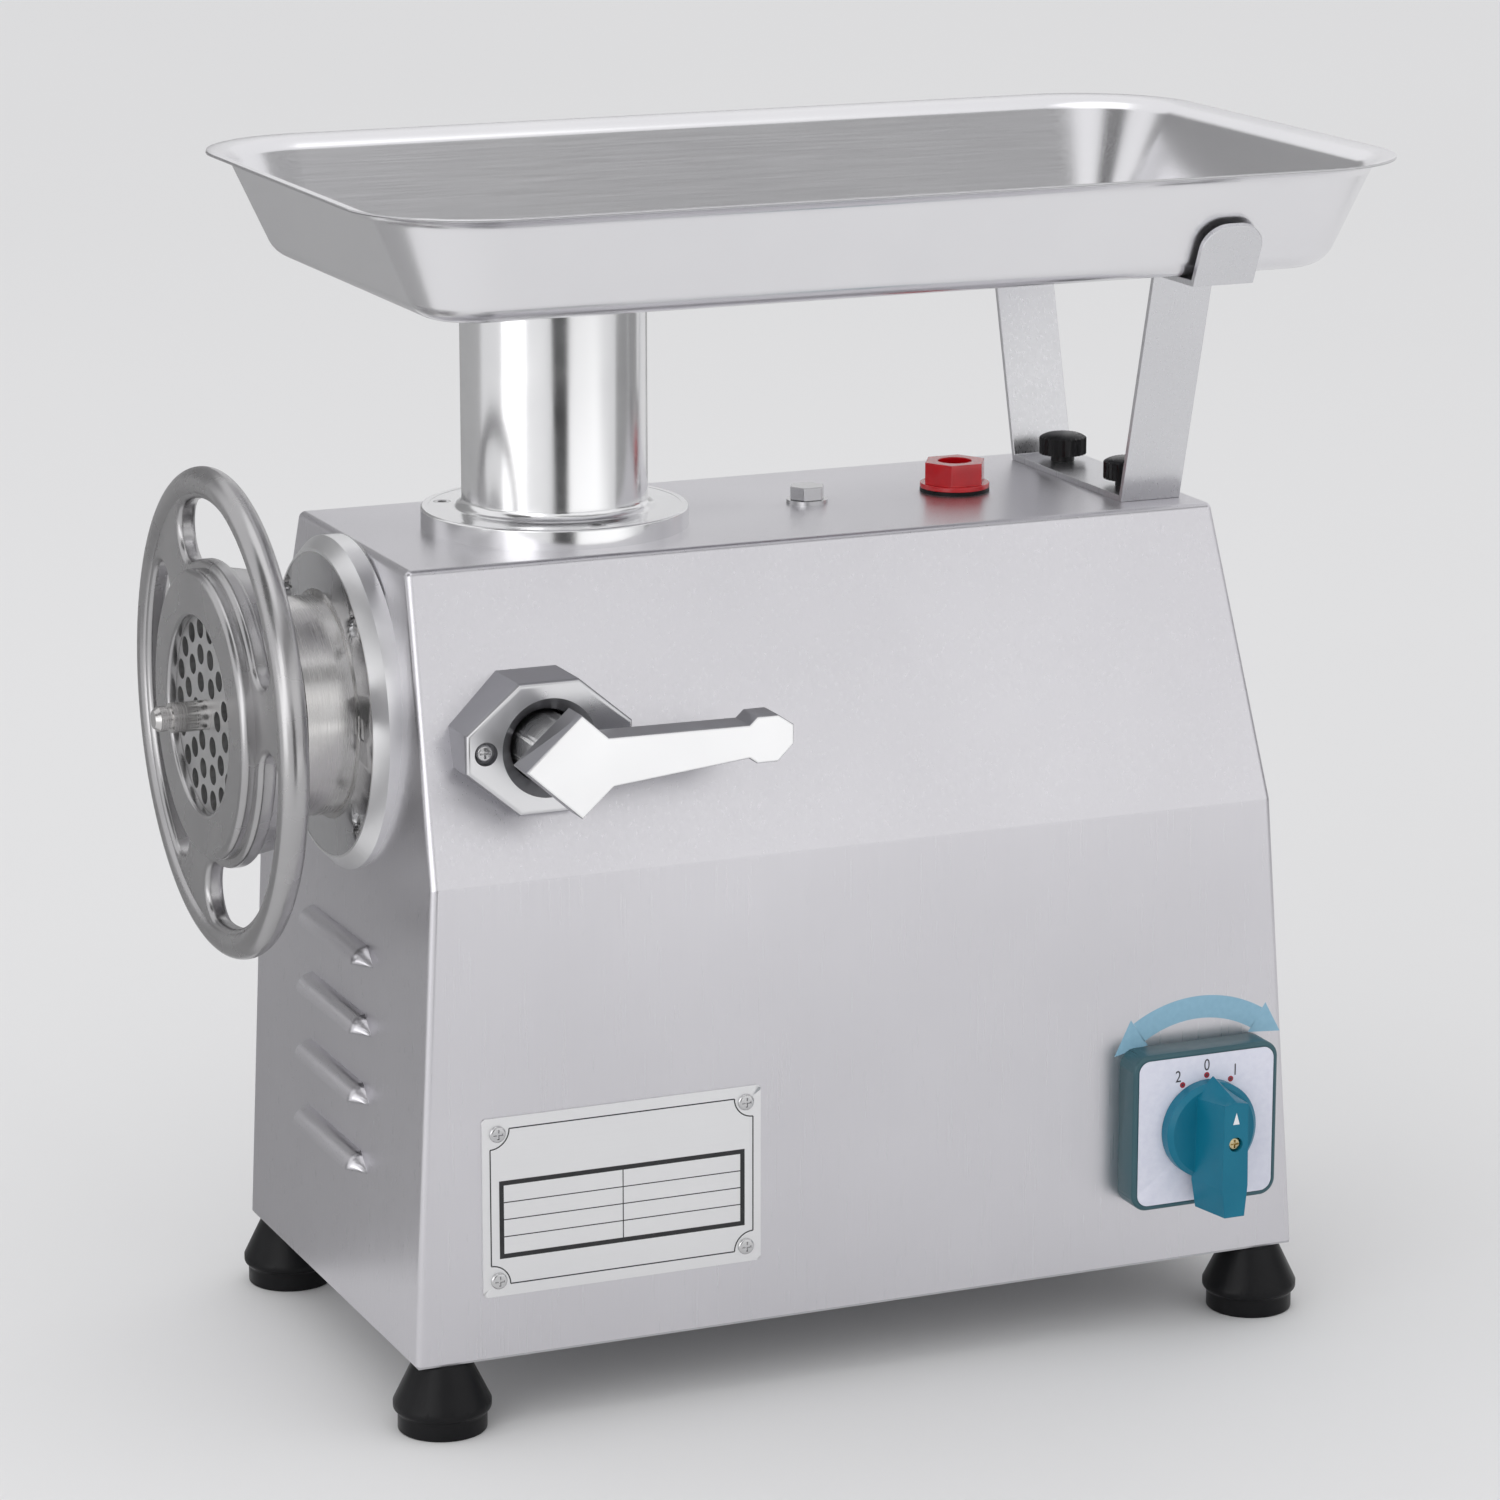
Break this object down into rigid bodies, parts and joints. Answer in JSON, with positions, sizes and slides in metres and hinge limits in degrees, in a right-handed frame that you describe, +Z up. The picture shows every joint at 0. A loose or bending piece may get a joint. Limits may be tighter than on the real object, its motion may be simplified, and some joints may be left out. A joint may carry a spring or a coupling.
{
  "type": "electric meat grinder",
  "caption": "Bench-top electric meat grinder: sheet-metal housing on rubber feet, spoked hand-wheel ring nut, feed neck with loading tray, barrel clamp lever and rotary switch.",
  "frame": {"origin": "on the floor, midway between the four feet", "axes": "+Z up, +X towards the switch end along the auger axis, -Y the side with the clamp lever and switch"},
  "size_m": [0.4991, 0.2788, 0.485],
  "materials": {
    "stainless_sheet": "satin, brushed upright",
    "zinc_sheet": "dull zinc",
    "cast_aluminium": "polished casting",
    "raw_casting": "raw casting",
    "stainless_bar": "turned bright",
    "gear_steel": "ground and oiled",
    "bright_fasteners": "bright plated",
    "laminations": "varnished laminations",
    "plate_aluminium": "satin sheet",
    "black_rubber": "matte",
    "black_plastic": "matte",
    "teal_plastic": "moulded, light gloss",
    "white_plastic": "matte",
    "red_plastic": "glossy"
  },
  "bodies": {
    "housing": {"housing_shell": "stainless_sheet", "base_plate": "zinc_sheet", "foot_front_left": "black_rubber", "foot_front_right": "black_rubber", "foot_rear_left": "black_rubber", "foot_rear_right": "black_rubber", "foot_bolts": "bright_fasteners", "head_seat": "cast_aluminium", "flange_screws": "bright_fasteners", "feed_neck": "cast_aluminium", "neck_screws": "bright_fasteners", "clamp_block": "cast_aluminium", "clamp_screws": "bright_fasteners", "gearbox_case": "raw_casting", "gearbox_bolts": "bright_fasteners", "gearbox_cover": "raw_casting", "cover_screws": "bright_fasteners", "output_bearings": "gear_steel", "output_seal": "black_rubber", "counter_bearings": "gear_steel", "motor_stator": "laminations", "motor_end_bells": "raw_casting", "motor_tie_bolts": "bright_fasteners", "motor_bearings": "gear_steel", "capacitor": "black_plastic", "switch_bezel": "teal_plastic", "switch_face": "white_plastic", "switch_body": "black_plastic", "rating_plate": "plate_aluminium", "rating_plate_screws": "bright_fasteners", "tray_bracket": "stainless_sheet", "top_bolt": "bright_fasteners", "top_bolt_washer": "bright_fasteners", "oil_plug": "red_plastic", "oil_plug_gasket": "black_rubber", "cable_gland": "black_plastic", "cable_gland_nut": "black_plastic"},
    "barrel": {"barrel": "cast_aluminium", "barrel_key": "stainless_bar", "plate_pin": "stainless_bar"},
    "auger": {"auger": "stainless_bar", "auger_stud": "stainless_bar", "knife": "stainless_bar"},
    "plate": {"cutting_plate": "stainless_bar"},
    "wheel": {"hand_wheel": "cast_aluminium"},
    "output": {"output_shaft": "gear_steel", "output_gear": "gear_steel"},
    "counter": {"counter_shaft": "gear_steel", "counter_gear": "gear_steel"},
    "rotor": {"motor_rotor": "gear_steel", "motor_pinion": "gear_steel", "motor_fan": "black_plastic"},
    "lever": {"clamp_lever": "cast_aluminium", "clamp_spindle": "stainless_bar"},
    "knob": {"switch_knob": "teal_plastic", "switch_knob_screw": "bright_fasteners", "switch_spindle": "gear_steel"},
    "thumb_front": {"thumb_screw_front": "black_plastic"},
    "thumb_rear": {"thumb_screw_rear": "black_plastic"},
    "tray": {"tray": "stainless_sheet"}
  },
  "joints": [
    {"name": "rotor_spin", "type": "hinge", "parent": "housing", "child": "rotor", "pos_m": [0, 0, 0.147], "axis": [1, 0, 0], "continuous": true},
    {"name": "counter_spin", "type": "hinge", "parent": "housing", "child": "counter", "pos_m": [0, 0, 0.20575], "axis": [1, 0, 0], "continuous": true},
    {"name": "output_spin", "type": "hinge", "parent": "housing", "child": "output", "pos_m": [0, 0, 0.27475], "axis": [1, 0, 0], "continuous": true},
    {"name": "barrel_slide", "type": "slide", "parent": "housing", "child": "barrel", "axis": [-1, 0, 0], "range_m": [0, 0.15]},
    {"name": "auger_spin", "type": "hinge", "parent": "barrel", "child": "auger", "pos_m": [0, 0, 0.27475], "axis": [1, 0, 0], "continuous": true},
    {"name": "plate_slide", "type": "slide", "parent": "barrel", "child": "plate", "axis": [-1, 0, 0], "range_m": [0, 0.014]},
    {"name": "wheel_turn", "type": "hinge", "parent": "plate", "child": "wheel", "pos_m": [0, 0, 0.27475], "axis": [-1, 0, 0], "range_deg": [0, 1260]},
    {"name": "lever_turn", "type": "hinge", "parent": "housing", "child": "lever", "pos_m": [-0.136, 0, 0.27475], "axis": [0, -1, 0], "range_deg": [0, 150]},
    {"name": "knob_turn", "type": "hinge", "parent": "housing", "child": "knob", "pos_m": [0.1455, 0, 0.0902], "axis": [0, -1, 0], "range_deg": [-30, 30]},
    {"name": "thumb_front_turn", "type": "hinge", "parent": "housing", "child": "thumb_front", "pos_m": [0.15, -0.03, 0.34], "axis": [0, 0, 1], "range_deg": [0, 1080]},
    {"name": "thumb_rear_turn", "type": "hinge", "parent": "housing", "child": "thumb_rear", "pos_m": [0.15, 0.03, 0.34], "axis": [0, 0, 1], "range_deg": [0, 1080]},
    {"name": "tray_lift", "type": "slide", "parent": "housing", "child": "tray", "axis": [0, 0, 1], "range_m": [0, 0.06]}
  ],
  "couplings": [
    {"joint": "counter_spin", "follows": "rotor_spin", "ratio": -0.34286},
    {"joint": "output_spin", "follows": "rotor_spin", "ratio": 0.12101},
    {"joint": "auger_spin", "follows": "rotor_spin", "ratio": 0.12101},
    {"joint": "plate_slide", "follows": "wheel_turn", "m_per_rad": 0.00063662}
  ]
}
